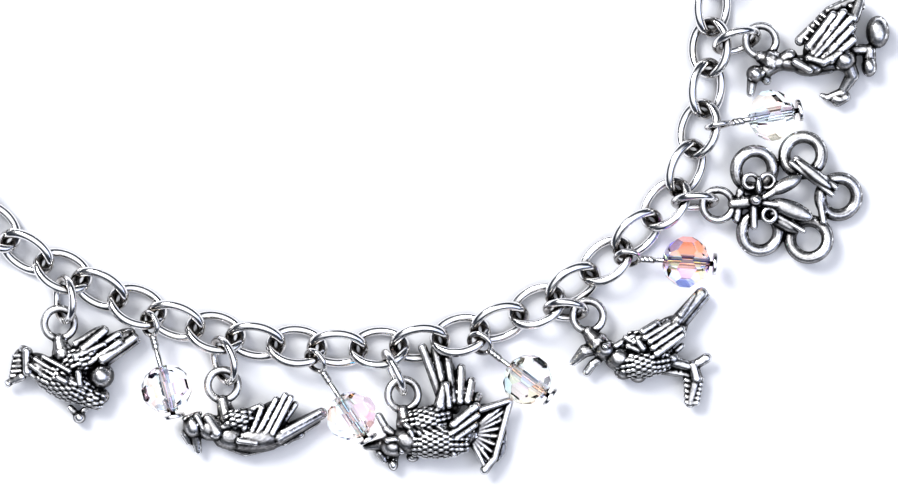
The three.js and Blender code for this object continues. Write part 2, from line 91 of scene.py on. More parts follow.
# blobs: x, y, z, half sizes along x, y and z, turn; strokes: x, y, z and radius of both ends
BIRDS = {
    "partridge": {
        "blobs": [
            (0.36, -4.59, 1.25, 2.94, 1.51, 1.45, -27),
            (2.61, -6.06, 1.10, 1.30, 0.82, 1.10, -10),
            (-1.45, -3.47, 1.30, 1.64, 1.04, 1.20, -35),
            (3.56, -4.16, 1.60, 1.08, 1.08, 1.35, 0),
            (1.62, -7.71, 0.85, 0.54, 0.54, 0.70, 0),
            (1.75, -2.78, 1.60, 1.99, 1.12, 1.10, 20),
            (-4.39, -4.85, 1.20, 0.33, 0.33, 0.45, 0),
        ],
        "strokes": [
            (-2.75, -2.09, 1.90, 0.39, -2.70, -3.82, 1.90, 0.39),
            (-3.09, -1.91, 1.60, 0.35, -2.66, -2.17, 1.80, 0.43),
            (-3.01, -2.47, 1.70, 0.21, -3.87, -2.54, 1.40, 0.21),
            (-3.01, -2.91, 1.70, 0.21, -3.94, -2.98, 1.40, 0.21),
            (-3.01, -3.34, 1.70, 0.21, -4.00, -3.41, 1.40, 0.21),
            (-3.01, -3.77, 1.70, 0.21, -4.07, -3.84, 1.40, 0.21),
            (-3.01, -4.16, 1.70, 0.21, -4.13, -4.23, 1.40, 0.21),
            (-3.18, -4.25, 1.60, 0.39, -4.35, -4.77, 1.20, 0.28),
            (-2.58, -3.90, 1.90, 0.26, 0.36, -5.98, 1.70, 0.26),
            (-2.32, -3.30, 2.20, 0.26, 0.88, -5.46, 2.30, 0.26),
            (-1.97, -2.78, 2.20, 0.26, 1.40, -4.85, 2.60, 0.26),
            (-1.28, -2.60, 2.20, 0.24, 0.88, -3.73, 2.70, 0.24),
            (0.36, -5.98, 1.60, 0.29, 3.31, -6.84, 1.30, 0.29),
            (0.88, -5.37, 2.10, 0.26, 3.13, -6.41, 1.80, 0.26),
            (2.09, -1.91, 2.30, 0.45, 3.87, -0.36, 1.90, 0.35),
            (1.40, -1.48, 2.00, 0.35, 3.48, -0.18, 1.60, 0.24),
            (1.40, -2.52, 2.60, 0.29, 3.82, -1.48, 2.20, 0.26),
            (3.65, -2.78, 2.30, 0.45, 6.33, -0.92, 1.70, 0.36),
            (2.61, -3.04, 2.40, 0.29, 5.12, -1.31, 2.20, 0.29),
            (4.00, -3.12, 1.60, 0.29, 6.59, -1.22, 1.30, 0.26),
            (2.44, -2.35, 2.40, 0.26, 5.03, -0.62, 1.90, 0.26),
            (3.13, -5.63, 1.30, 0.65, 3.56, -5.89, 1.20, 0.65),
            (0.88, -6.93, 1.00, 0.31, 1.49, -7.53, 0.90, 0.31),
            (2.27, -6.84, 0.90, 0.26, 1.75, -7.36, 0.90, 0.26),
            (1.66, -3.90, 2.60, 0.31, 1.75, -4.85, 2.50, 0.31),
            (0.02, -4.33, 2.70, 0.31, 0.54, -4.59, 2.70, 0.31),
        ],
    },
    "dove": {
        "blobs": [
            (-2.76, -2.55, 1.40, 0.91, 1.08, 1.25, 0),
            (-1.29, -2.72, 1.40, 1.30, 1.12, 1.30, 0),
            (0.44, -3.42, 1.35, 1.64, 1.21, 1.35, 0),
            (2.68, -3.50, 1.30, 2.85, 1.30, 1.50, 6),
            (1.13, -1.95, 1.90, 1.38, 0.82, 1.00, 12),
        ],
        "strokes": [
            (-3.37, -3.24, 1.50, 0.48, -3.11, -3.93, 1.30, 0.31),
            (-2.59, -3.42, 1.50, 0.48, -2.37, -4.71, 1.10, 0.31),
            (-2.42, -1.77, 2.30, 0.31, -1.90, -2.72, 2.30, 0.31),
            (-3.46, -1.95, 1.90, 0.26, -2.24, -1.51, 1.90, 0.26),
            (-1.47, -1.95, 2.10, 0.52, -0.77, -3.07, 2.20, 0.61),
            (-0.34, -2.72, 2.20, 0.35, 0.78, -2.21, 2.50, 0.35),
            (0.78, -2.55, 2.40, 0.33, 1.13, -1.60, 2.30, 0.29),
            (1.56, -2.72, 2.40, 0.33, 1.99, -1.34, 2.30, 0.29),
            (2.25, -2.98, 2.40, 0.33, 3.03, -0.99, 2.30, 0.29),
            (2.77, -3.07, 2.40, 0.33, 4.24, -0.30, 2.30, 0.29),
            (3.38, -3.16, 2.40, 0.33, 5.02, 0.04, 2.30, 0.29),
            (3.94, -3.16, 2.40, 0.33, 5.49, -0.17, 2.30, 0.29),
            (4.24, -3.07, 2.00, 0.31, 5.84, -0.74, 1.80, 0.31),
            (0.26, -2.03, 2.30, 0.26, 2.94, -0.82, 2.20, 0.26),
            (4.41, -3.42, 1.90, 0.74, 8.05, -1.51, 1.40, 0.50),
            (4.76, -3.07, 2.30, 0.29, 7.96, -1.34, 1.80, 0.22),
            (4.93, -3.85, 1.40, 0.43, 7.70, -2.21, 1.10, 0.29),
            (3.38, -4.11, 1.50, 0.52, 6.23, -3.24, 1.20, 0.43),
            (-0.52, -3.93, 1.50, 0.43, 1.65, -4.80, 1.30, 0.38),
            (1.65, -4.80, 1.30, 0.38, 3.89, -4.28, 1.40, 0.35),
            (1.13, -3.76, 2.50, 0.31, 2.51, -3.93, 2.50, 0.31),
        ],
    },
    "hen": {
        "blobs": [
            (2.69, -3.74, 1.40, 3.22, 1.52, 1.60, 0),
            (2.04, -2.08, 1.60, 2.21, 1.19, 1.20, 10),
            (-0.90, -4.20, 1.40, 1.15, 1.01, 1.25, 0),
            (0.39, -3.74, 1.50, 1.56, 1.19, 1.40, 0),
            (4.71, -3.19, 1.40, 1.56, 1.29, 1.20, 0),
            (-0.90, -5.85, 0.90, 0.44, 0.55, 0.70, 0),
            (0.75, -5.21, 0.90, 0.55, 0.46, 0.75, 0),
        ],
        "strokes": [
            (3.14, -0.06, 1.90, 0.46, 1.58, 4.07, 1.50, 0.39),
            (3.51, -0.06, 1.90, 0.46, 2.64, 3.89, 1.50, 0.39),
            (4.16, -0.34, 1.90, 0.46, 3.70, 3.06, 1.50, 0.39),
            (4.75, -0.43, 1.90, 0.46, 4.85, 2.33, 1.50, 0.39),
            (5.40, -0.43, 1.90, 0.46, 5.72, 1.22, 1.50, 0.39),
            (3.05, -0.80, 2.10, 0.55, 3.42, 0.86, 2.10, 0.40),
            (3.79, -0.80, 2.10, 0.37, 3.60, 0.95, 2.30, 0.31),
            (6.09, -0.43, 1.60, 0.40, 6.27, -0.06, 1.40, 0.40),
            (4.16, -2.45, 2.60, 0.37, 6.09, -0.89, 2.10, 0.40),
            (3.97, -3.19, 2.70, 0.29, 6.18, -1.63, 2.20, 0.31),
            (4.43, -3.56, 2.60, 0.31, 5.99, -2.45, 2.10, 0.31),
            (5.44, -3.19, 1.60, 0.42, 8.84, -0.43, 1.45, 0.19),
            (5.44, -3.19, 1.60, 0.42, 8.57, -1.26, 1.45, 0.19),
            (5.44, -3.19, 1.60, 0.42, 8.43, -1.99, 1.45, 0.19),
            (5.44, -3.19, 1.60, 0.42, 8.29, -2.73, 1.45, 0.19),
            (5.44, -3.19, 1.60, 0.42, 8.11, -3.46, 1.45, 0.19),
            (5.44, -3.19, 1.60, 0.42, 7.83, -4.20, 1.45, 0.19),
            (5.44, -3.19, 1.60, 0.42, 7.56, -4.84, 1.45, 0.19),
            (5.44, -3.19, 1.60, 0.42, 7.28, -5.49, 1.45, 0.19),
            (5.44, -3.19, 1.60, 0.42, 6.91, -6.13, 1.45, 0.19),
            (8.98, -0.43, 1.50, 0.31, 7.65, -5.30, 1.50, 0.28),
            (7.65, -5.30, 1.50, 0.28, 6.82, -6.31, 1.30, 0.40),
            (6.45, -1.17, 2.00, 0.31, 8.84, -0.43, 1.60, 0.28),
            (-1.82, -4.11, 1.50, 0.55, -3.20, -4.34, 1.10, 0.31),
            (-2.09, -1.72, 1.60, 0.33, -1.45, -2.82, 1.60, 0.33),
            (-1.45, -2.82, 1.60, 0.40, -0.62, -3.46, 1.80, 0.40),
            (-2.00, -4.84, 1.30, 0.37, -1.63, -5.49, 1.10, 0.28),
            (-0.81, -4.84, 1.10, 0.46, -0.90, -5.67, 0.90, 0.40),
            (0.57, -3.00, 2.70, 0.28, 1.31, -4.66, 2.30, 0.26),
            (1.31, -3.08, 2.70, 0.28, 2.04, -4.73, 2.30, 0.26),
            (2.04, -3.15, 2.70, 0.28, 2.78, -4.81, 2.30, 0.26),
            (2.78, -3.22, 2.70, 0.28, 3.51, -4.88, 2.30, 0.26),
            (3.51, -3.30, 2.70, 0.28, 4.25, -4.95, 2.30, 0.26),
            (0.20, -2.45, 2.50, 0.26, 0.94, -3.00, 2.60, 0.26),
            (1.03, -2.45, 2.50, 0.26, 1.77, -3.00, 2.60, 0.26),
            (1.86, -2.45, 2.50, 0.26, 2.59, -3.00, 2.60, 0.26),
            (2.69, -2.45, 2.50, 0.26, 3.42, -3.00, 2.60, 0.26),
            (-0.53, -3.74, 2.40, 0.28, -0.16, -4.66, 2.20, 0.28),
            (-1.36, -3.74, 2.50, 0.26, -0.72, -3.65, 2.50, 0.26),
        ],
    },
    "calling_bird": {
        "blobs": [
            (0.92, -2.91, 1.50, 1.04, 0.91, 1.30, 0),
            (2.13, -3.61, 1.50, 1.30, 1.12, 1.35, 0),
            (4.04, -3.95, 1.40, 2.59, 1.30, 1.50, 8),
            (2.48, -4.73, 1.30, 0.82, 0.74, 1.20, 0),
            (3.69, -5.08, 1.20, 0.74, 0.65, 1.10, 0),
            (5.16, -2.31, 1.60, 2.51, 1.30, 0.85, 34),
            (3.52, -2.05, 1.70, 1.12, 0.78, 1.10, 20),
        ],
        "strokes": [
            (0.23, -2.83, 1.60, 0.52, -0.81, -3.00, 1.60, 0.57),
            (-0.81, -3.00, 1.60, 0.57, -1.84, -4.04, 1.20, 0.29),
            (0.32, -3.78, 1.40, 0.38, -0.20, -4.12, 1.30, 0.35),
            (-0.20, -4.21, 1.30, 0.38, -0.63, -4.82, 1.10, 0.38),
            (0.84, -2.57, 2.70, 0.26, 0.92, -2.65, 2.70, 0.26),
            (4.21, -1.88, 2.70, 0.33, 6.29, -0.67, 2.30, 0.31),
            (4.64, -2.22, 2.70, 0.33, 6.89, -0.75, 2.30, 0.31),
            (4.90, -2.74, 2.70, 0.33, 7.32, -1.10, 2.30, 0.31),
            (5.16, -3.26, 2.70, 0.33, 7.41, -1.62, 2.30, 0.31),
            (4.04, -1.36, 2.70, 0.33, 5.33, -0.58, 2.30, 0.31),
            (2.65, -1.88, 2.40, 0.31, 3.17, -2.22, 2.50, 0.31),
            (3.69, -2.22, 2.70, 0.35, 4.04, -2.74, 2.70, 0.35),
            (2.83, -2.57, 2.50, 0.29, 3.69, -2.91, 2.60, 0.29),
            (1.79, -2.57, 2.40, 0.26, 2.31, -2.22, 2.30, 0.26),
            (6.63, -0.84, 2.00, 0.61, 9.05, 1.84, 1.30, 0.54),
            (7.50, -0.67, 1.60, 0.43, 9.40, 1.58, 1.20, 0.38),
            (7.24, 0.03, 2.30, 0.26, 8.45, 1.67, 1.70, 0.22),
            (2.83, -3.69, 2.50, 0.31, 5.07, -3.87, 2.40, 0.29),
            (2.65, -4.21, 2.20, 0.26, 4.90, -4.38, 2.10, 0.26),
            (1.96, -4.56, 1.60, 0.26, 2.65, -5.08, 1.40, 0.26),
            (4.90, -3.61, 2.00, 0.52, 6.63, -3.61, 1.60, 0.52),
            (6.46, -3.87, 1.50, 0.52, 8.19, -4.38, 1.30, 0.45),
            (5.59, -4.64, 1.30, 0.38, 7.67, -4.99, 1.20, 0.29),
            (6.80, -3.09, 1.40, 0.26, 7.41, -2.57, 1.20, 0.26),
            (9.48, -3.61, 1.40, 0.43, 8.36, -4.30, 1.30, 0.43),
            (8.36, -4.30, 1.30, 0.52, 8.62, -5.34, 1.30, 0.52),
            (7.71, -4.99, 1.25, 0.26, 9.01, -5.42, 1.25, 0.29),
            (7.73, -5.47, 1.25, 0.26, 8.94, -5.81, 1.25, 0.29),
            (7.75, -5.94, 1.25, 0.26, 8.87, -6.20, 1.25, 0.29),
            (7.76, -6.42, 1.25, 0.26, 8.80, -6.59, 1.25, 0.29),
            (7.78, -6.89, 1.25, 0.26, 8.73, -6.98, 1.25, 0.29),
            (7.80, -7.37, 1.25, 0.26, 8.66, -7.37, 1.25, 0.29),
            (8.62, -5.16, 1.20, 0.52, 8.10, -7.41, 1.10, 0.43),
        ],
    },
    "goose": {
        "blobs": [
            (2.88, -2.07, 1.30, 3.64, 0.75, 1.25, -3),
            (3.42, -2.39, 1.35, 1.39, 0.75, 1.40, 0),
            (-1.08, -2.92, 1.30, 0.77, 0.75, 1.10, 0),
            (0.74, -1.96, 1.30, 1.39, 0.80, 1.15, 10),
            (6.41, -1.75, 1.50, 1.07, 1.02, 1.35, 0),
            (5.02, 0.50, 1.45, 2.89, 1.18, 0.85, 48),
            (9.25, 0.61, 1.40, 1.01, 1.39, 1.15, 0),
            (8.55, -2.28, 1.20, 0.66, 0.91, 0.95, 0),
            (5.99, -5.06, 0.85, 0.75, 0.45, 0.60, 0),
        ],
        "strokes": [
            (3.20, -0.35, 2.10, 0.24, 4.90, 2.10, 1.90, 0.22),
            (3.60, -0.90, 2.55, 0.22, 5.90, 2.10, 2.30, 0.20),
            (4.70, -1.30, 2.50, 0.24, 7.00, 1.35, 2.25, 0.22),
            (4.95, -1.75, 2.45, 0.22, 7.10, 0.45, 2.20, 0.22),
            (2.90, 0.30, 1.90, 0.26, 3.50, -0.20, 2.20, 0.26),
            (3.40, 0.90, 1.90, 0.26, 4.00, 0.40, 2.20, 0.26),
            (3.95, 1.50, 1.90, 0.26, 4.50, 1.00, 2.20, 0.26),
            (4.50, 2.05, 1.90, 0.26, 5.10, 1.60, 2.20, 0.26),
            (-1.29, -3.24, 1.20, 0.49, -1.45, -4.53, 1.00, 0.36),
            (-0.33, -3.03, 1.50, 0.43, -0.11, -3.46, 1.30, 0.43),
            (-0.11, -2.60, 1.60, 0.64, 1.81, -1.43, 1.80, 0.64),
            (3.42, -0.68, 2.40, 0.41, 5.45, 2.00, 2.20, 0.39),
            (3.74, -1.21, 2.40, 0.41, 6.31, 2.21, 2.20, 0.39),
            (3.95, -1.43, 2.40, 0.41, 6.95, 1.78, 2.20, 0.39),
            (4.49, -1.75, 2.40, 0.41, 7.06, 0.93, 2.20, 0.39),
            (5.24, -1.75, 2.40, 0.41, 7.16, -0.03, 2.20, 0.39),
            (2.67, -0.14, 1.80, 0.47, 5.13, 2.32, 1.60, 0.43),
            (5.13, 2.32, 1.60, 0.47, 7.16, 3.28, 1.50, 0.47),
            (7.16, 1.78, 2.00, 0.54, 7.70, 3.18, 1.60, 0.45),
            (6.95, 2.75, 1.80, 0.32, 7.91, 2.75, 1.50, 0.32),
            (3.42, -1.64, 2.40, 0.39, 4.59, -1.96, 2.50, 0.39),
            (4.59, -1.96, 2.50, 0.39, 5.99, -1.21, 2.40, 0.36),
            (2.24, -1.96, 2.40, 0.36, 3.42, -2.60, 2.50, 0.36),
            (3.52, -2.82, 1.60, 0.36, 5.24, -2.60, 1.60, 0.32),
            (6.73, -2.17, 1.80, 0.64, 7.11, -3.03, 1.50, 0.60),
            (7.11, -3.03, 1.50, 0.60, 6.41, -4.21, 1.10, 0.43),
            (6.31, -4.53, 1.00, 0.49, 5.02, -4.96, 0.80, 0.32),
            (4.59, -4.74, 0.80, 0.24, 5.02, -4.90, 0.80, 0.28),
            (6.52, -4.85, 1.00, 0.49, 5.88, -5.28, 0.90, 0.43),
            (6.95, -0.89, 1.50, 0.54, 8.45, -0.89, 1.40, 0.49),
            (8.55, -0.89, 1.40, 0.54, 8.55, -1.53, 1.30, 0.60),
        ],
    },
}
FIVE_RINGS = {
    "radius": 1.58, "wire": 1.08, "height": 1.15,
    "rings": [(3.1, 3.0, 9), (7.2, 4.2, -10), (10.2, 0.7, 10), (7.7, -2.9, -9), (3.6, -2.3, 10)],
    "bow_loops": [(2.75, 2.0, 0.58), (4.15, 2.0, 0.58), (4.3, -0.85, 0.55)],
    "blobs": [
        (3.15, 0.4, 2.3, 0.55, 0.5, 0.6, 0), (3.4, 1.6, 2.2, 0.32, 0.8, 0.5, 0),
        (5.7, 1.7, 2.1, 1.5, 0.62, 0.6, 28), (6.2, -0.4, 2.1, 1.9, 0.75, 0.55, -22),
        (8.0, 2.6, 1.9, 2.1, 0.55, 0.6, -38), (5.6, -1.5, 1.6, 1.5, 0.6, 0.6, -30),
    ],
    "strokes": [
        (1.3, 0.1, 1.5, 0.5, 3.3, 0.3, 1.8, 0.7), (3.0, 0.1, 2.1, 0.32, 3.0, -1.8, 2.1, 0.34),
        (3.6, 0.5, 2.2, 0.26, 4.8, 1.2, 2.2, 0.34), (3.7, 0.2, 2.2, 0.26, 5.0, 0.0, 2.2, 0.34),
        (6.2, 3.5, 2.1, 0.3, 9.6, 0.9, 1.9, 0.3), (6.6, 3.9, 1.9, 0.3, 9.9, 1.5, 1.9, 0.3),
        (8.5, 1.0, 1.6, 0.34, 8.9, -1.4, 1.5, 0.34), (4.6, -0.7, 2.0, 0.26, 7.2, -2.2, 1.9, 0.26),
        (1.9, 1.1, 1.5, 0.4, 1.6, -1.2, 1.5, 0.4),
    ],
}
# flat webs of metal between the feathers, which the casting fills
WEBS = {
    "partridge": [(4.2, -1.75, 1.3, 2.6, 0.95, 0.85, 33), (2.6, -1.15, 1.2, 1.8, 0.7, 0.8, 38),
                  (-3.2, -3.1, 1.1, 0.85, 1.3, 0.7, 0), (1.2, -3.4, 1.4, 1.6, 1.2, 1.1, -30),
                  (0.5, -2.3, 1.4, 1.0, 0.7, 0.9, 0)],
    "dove": [(3.5, -1.8, 1.4, 2.4, 1.1, 0.85, 32), (0.6, -2.9, 1.4, 1.9, 1.0, 1.1, -8)],
    "hen": [(3.7, 1.1, 1.2, 2.8, 1.05, 0.7, 105), (7.2, -3.2, 1.0, 1.5, 2.6, 0.5, 12)],
    "calling_bird": [(6.2, -1.4, 1.5, 1.9, 1.2, 1.0, 34)],
    "goose": [(-0.6, -2.9, 1.3, 0.9, 0.5, 0.9, 35), (5.9, -0.3, 1.3, 1.6, 1.1, 0.85, 40)],
}


# ---- the chain's way ----
def route_point(share):
    """A point on a closed curve of even tension through the route's points."""
    count = len(ROUTE)
    place = (share % 1) * count
    first = int(place) % count
    weight = place - int(place)
    p = [Vector(ROUTE[(first + step) % count]) for step in (-1, 0, 1, 2)]
    d = [(p[i + 1] - p[i]).length ** 0.5 for i in range(3)]
    t1 = ((p[1] - p[0]) / d[0] - (p[2] - p[0]) / (d[0] + d[1]) + (p[2] - p[1]) / d[1]) * d[1]
    t2 = ((p[2] - p[1]) / d[1] - (p[3] - p[1]) / (d[1] + d[2]) + (p[3] - p[2]) / d[2]) * d[1]
    c2 = -3 * p[1] + 3 * p[2] - 2 * t1 - t2
    c3 = 2 * p[1] - 2 * p[2] + t1 + t2
    return p[1] + t1 * weight + c2 * weight ** 2 + c3 * weight ** 3


ROUTE_STEPS = 2000
lengths = [0.0]
for step in range(ROUTE_STEPS):
    reach = route_point((step + 1) / ROUTE_STEPS) - route_point(step / ROUTE_STEPS)
    lengths.append(lengths[-1] + reach.length)


def along_route(distance):
    """The point and heading at a distance along the chain's way."""
    distance %= lengths[-1]
    low = max(i for i in range(ROUTE_STEPS) if lengths[i] <= distance)
    part = (distance - lengths[low]) / (lengths[low + 1] - lengths[low])
    share = (low + part) / ROUTE_STEPS
    nudge = 0.0001
    ahead = route_point(share + nudge) - route_point(share - nudge)
    return route_point(share), math.atan2(ahead.y, ahead.x)


def link_distance(number):
    if number > LINKS_BEFORE_CLASP:
        return lengths[-1] - (LINKS + 1.5 - number) * PITCH
    return (number - 1.5) * PITCH


def turned(middle, roll, dip, heading):
    turn = Matrix.Rotation(math.radians(heading), 4, "Z")
    turn = turn @ Matrix.Rotation(math.radians(dip), 4, "Y")
    return Matrix.Translation(middle) @ turn @ Matrix.Rotation(math.radians(roll), 4, "X")


def on_route(distance, roll, height):
    point, heading = along_route(distance)
    return turned((point.x, point.y, height), roll, 0, math.degrees(heading))


# The frame's origin is the middle of the whole: what moves link 1 onto its node moves everything.
low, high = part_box("link_01")
first_point, first_heading = along_route(link_distance(1))
node_middle = (low + high) / 2 / MM
ORIGIN = Vector((node_middle.x - first_point.x, node_middle.y - first_point.y, 0))


# ---- materials ----
def linear(hex_colour):
    """An sRGB hex colour as linear red, green, blue and alpha."""
    channels = [int(hex_colour[i:i + 2], 16) / 255 for i in (1, 3, 5)]
    return tuple(c / 12.92 if c <= 0.04045 else ((c + 0.055) / 1.055) ** 2.4
                 for c in channels) + (1.0,)


def add_node(tree, kind, settings=None, links=None, **inputs):
    """A node with its settings, constant inputs and links from other nodes' sockets."""
    node = tree.nodes.new(kind)
    for key, value in (settings or {}).items():
        setattr(node, key, value)
    for key, value in inputs.items():
        node.inputs[key.replace("_", " ")].default_value = value
    for key, socket in (links or {}).items():
        tree.links.new(socket, node.inputs[key])
    return node


def new_material(name):
    material = bpy.data.materials.new(name)
    material.use_nodes = True
    return material, material.node_tree, material.node_tree.nodes["Principled BSDF"]


def ramp_of(tree, fac, stops):
    node = add_node(tree, "ShaderNodeValToRGB", links={"Fac": fac})
    elements = node.color_ramp.elements
    while len(elements) < len(stops):
        elements.new(0.5)
    for element, (place, colour) in zip(elements, stops):
        element.position = place
        element.color = linear(colour)
    return node


def painted_shade_by_facing(tree, low, high, least):
    """How far a surface faces up, used as painted shade: sides and undersides are painted darker
    than tops.
    """
    surface = add_node(tree, "ShaderNodeNewGeometry")
    parts = add_node(tree, "ShaderNodeSeparateXYZ", links={"Vector": surface.outputs["Normal"]})
    rise = add_node(tree, "ShaderNodeMapRange", links={"Value": parts.outputs["Z"]})
    rise.inputs["From Min"].default_value = low
    rise.inputs["From Max"].default_value = high
    rise.inputs["To Min"].default_value = least
    return rise.outputs["Result"]


# Silver plate on drawn brass wire: a bright mirror with faint drawing lines, and painted shade
# where parts touch, under the wire and on its sides.
def silver_plate():
    material, tree, shader = new_material("silver_plated_brass_wire")
    shader.inputs["Metallic"].default_value = 1.0
    place = add_node(tree, "ShaderNodeTexCoord")
    scuffs_per_mm = 1.6
    scuffs = add_node(tree, "ShaderNodeTexNoise", links={"Vector": place.outputs["Object"]},
                      Scale=scuffs_per_mm / MM, Detail=4.0, Roughness=0.6)
    shade = add_node(tree, "ShaderNodeAmbientOcclusion", {"samples": 8}, Distance=0.9 * MM)
    painted_side_shade = painted_shade_by_facing(tree, -0.5, 0.75, 0.3)
    film_and_painted_light = add_node(tree, "ShaderNodeMath", {"operation": "MULTIPLY"},
                    {0: shade.outputs["AO"], 1: painted_side_shade})
    # painted shade in the base colour: dark where parts touch and on the sides, light on the tops
    tint = ramp_of(tree, film_and_painted_light.outputs["Value"], [
        (0.1, "#171412"), (0.35, "#4c4743"), (0.62, "#a8a29c"), (0.85, "#f4f3f2")])
    tree.links.new(tint.outputs["Color"], shader.inputs["Base Color"])
    rough = add_node(tree, "ShaderNodeMapRange", links={"Value": scuffs.outputs["Fac"]})
    rough.inputs["To Min"].default_value = 0.08
    rough.inputs["To Max"].default_value = 0.24
    tree.links.new(rough.outputs["Result"], shader.inputs["Roughness"])
    grain_depth = 0.012
    bump = add_node(tree, "ShaderNodeBump", links={"Height": scuffs.outputs["Fac"]},
                    Strength=0.25, Distance=grain_depth * MM)
    tree.links.new(bump.outputs["Normal"], shader.inputs["Normal"])
    return material


# Pewter cast in a rubber mould, silver plated, blackened and wiped: bright on the high spots,
# near black in the hollows, with a soft pebbled cast skin; sides and undersides get painted shade.
def antique_silver():
    material, tree, shader = new_material("antiqued_silver_plated_pewter")
    shader.inputs["Metallic"].default_value = 1.0
    place = add_node(tree, "ShaderNodeTexCoord")
    shade = add_node(tree, "ShaderNodeAmbientOcclusion", {"samples": 10}, Distance=0.8 * MM)
    edges = add_node(tree, "ShaderNodeNewGeometry")
    wear_per_mm = 1.1
    wear = add_node(tree, "ShaderNodeTexNoise", links={"Vector": place.outputs["Object"]},
                    Scale=wear_per_mm / MM, Detail=3.0, Roughness=0.6)
    high_spots = add_node(tree, "ShaderNodeMapRange", links={"Value": edges.outputs["Pointiness"]})
    high_spots.inputs["From Min"].default_value = 0.45
    high_spots.inputs["From Max"].default_value = 0.57
    hollow = add_node(tree, "ShaderNodeMath", {"operation": "MULTIPLY"},
                      {0: high_spots.outputs["Result"], 1: shade.outputs["AO"]})
    # the hollows' blackening times painted shade that darkens sides and undersides
    patina_and_painted_shade = add_node(tree, "ShaderNodeMath", {"operation": "MULTIPLY"},
                     {0: hollow.outputs["Value"], 1: painted_shade_by_facing(tree, -0.2, 0.8, 0.2)})
    spread = add_node(tree, "ShaderNodeMath", {"operation": "MULTIPLY_ADD"},
                      {0: wear.outputs["Fac"], 2: patina_and_painted_shade.outputs["Value"]})
    spread.inputs[1].default_value = 0.22
    tint = ramp_of(tree, spread.outputs["Value"], [
        (0.28, "#050506"), (0.43, "#232324"), (0.54, "#8e8c8b"), (0.66, "#fafafa")])
    tree.links.new(tint.outputs["Color"], shader.inputs["Base Color"])
    rough = add_node(tree, "ShaderNodeMapRange", links={"Value": spread.outputs["Value"]})
    rough.inputs["To Min"].default_value = 0.5
    rough.inputs["To Max"].default_value = 0.16
    tree.links.new(rough.outputs["Result"], shader.inputs["Roughness"])
    skin_per_mm = 5.0
    skin = add_node(tree, "ShaderNodeTexNoise", links={"Vector": place.outputs["Object"]},
                    Scale=skin_per_mm / MM, Detail=2.0)
    skin_depth = 0.03
    bump = add_node(tree, "ShaderNodeBump", links={"Height": skin.outputs["Fac"]},
                    Strength=0.35, Distance=skin_depth * MM)
    tree.links.new(bump.outputs["Normal"], shader.inputs["Normal"])
    return material


# Lead crystal cut and vacuum coated: clear, with a thin coating, and pink, blue and yellow tints
# painted on the facets as the coating's rainbow reflections.
def coated_crystal():
    material, tree, shader = new_material("aurora_coated_crystal_glass")
    shader.inputs["Roughness"].default_value = 0.02
    shader.inputs["IOR"].default_value = 1.32
    shader.inputs["Transmission Weight"].default_value = 1.0
    shader.inputs["Thin Film IOR"].default_value = 1.7
    # each facet's colour is a painted rainbow reflection of the coating; its alpha sets the real
    # coating's thickness
    facet = add_node(tree, "ShaderNodeAttribute", {"attribute_name": "film_and_painted_light"})
    tree.links.new(facet.outputs["Color"], shader.inputs["Base Color"])
    film_and_painted_light = add_node(tree, "ShaderNodeMapRange", links={"Value": facet.outputs["Alpha"]})
    film_and_painted_light.inputs["To Max"].default_value = 480.0
    tree.links.new(film_and_painted_light.outputs["Result"], shader.inputs["Thin Film Thickness"])
    return material


SILVER = silver_plate()
CAST = antique_silver()
CRYSTAL = coated_crystal()


# ---- shared shapes ----
def hoop(bm, radius, wire, place, steps=48, sides=14, cut=0.0):
    """A ring of round wire about Z; with a cut, its two square ends stand a hair apart."""
    section = bmesh.ops.create_circle(bm, cap_ends=cut > 0, segments=sides, radius=wire / 2,
                                      matrix=Matrix.Translation((radius, 0, 0))
                                      @ Matrix.Rotation(math.radians(90), 4, "X"))
    verts = section["verts"]
    edges = {edge for vert in verts for edge in vert.link_edges}
    faces = {face for vert in verts for face in vert.link_faces}
    before = set(bm.verts) - set(verts)
    bmesh.ops.spin(bm, geom=list(edges | faces), cent=(0, 0, 0), axis=(0, 0, 1), steps=steps,
                   angle=math.radians(360 - cut), use_merge=cut == 0)
    made = [vert for vert in bm.verts if vert not in before]
    if cut:
        bmesh.ops.recalc_face_normals(bm, faces=list({f for v in made for f in v.link_faces}))
    bmesh.ops.transform(bm, matrix=place, verts=made)
    return made


def rod(bm, start, end, radius_1, radius_2, place=Matrix.Identity(4), sides=16):
    start, end = Vector(start), Vector(end)
    way = end - start
    turn = way.to_track_quat("Z", "Y").to_matrix().to_4x4()
    at = place @ Matrix.Translation((start + end) / 2) @ turn
    made = bmesh.ops.create_cone(bm, cap_ends=True, segments=sides, radius1=radius_1,
                                 radius2=radius_2, depth=way.length, matrix=at)
    return made["verts"]


def piece(name, bm, material, nodes, smooth=True):
    """Turns the mesh into a finished piece in metres that rides on the body for its nodes."""
    bmesh.ops.remove_doubles(bm, verts=bm.verts, dist=0.0005)
    bmesh.ops.recalc_face_normals(bm, faces=bm.faces)
    bmesh.ops.transform(bm, matrix=Matrix.Scale(MM, 4) @ Matrix.Translation(ORIGIN),
                        verts=bm.verts)
    mesh = bpy.data.meshes.new(name)
    bm.to_mesh(mesh)
    bm.free()
    for face in mesh.polygons:
        face.use_smooth = smooth
    mesh.materials.append(material)
    made = bpy.data.objects.new(name, mesh)
    bpy.context.scene.collection.objects.link(made)
    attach(made, "root")
    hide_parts(*nodes)
    return made


def oval_link(bm, place):
    """A cable link: a hoop whose halves are drawn apart along its length."""
    stretch = (LINK_LENGTH - LINK_WIDTH) / 2
    made = hoop(bm, (LINK_WIDTH - LINK_WIRE) / 2, LINK_WIRE, Matrix.Identity(4),
                LINK_STEPS, LINK_SIDES)
    for vert in made:
        reach = math.hypot(vert.co.x, vert.co.y)
        vert.co.x *= 1 + stretch / reach
    bmesh.ops.transform(bm, matrix=place, verts=made)


def link_place(number):
    roll = OUTER_SIDE_UP if number % 2 else OUTER_SIDE_DOWN
    return on_route(link_distance(number), roll, CHAIN_HEIGHT)


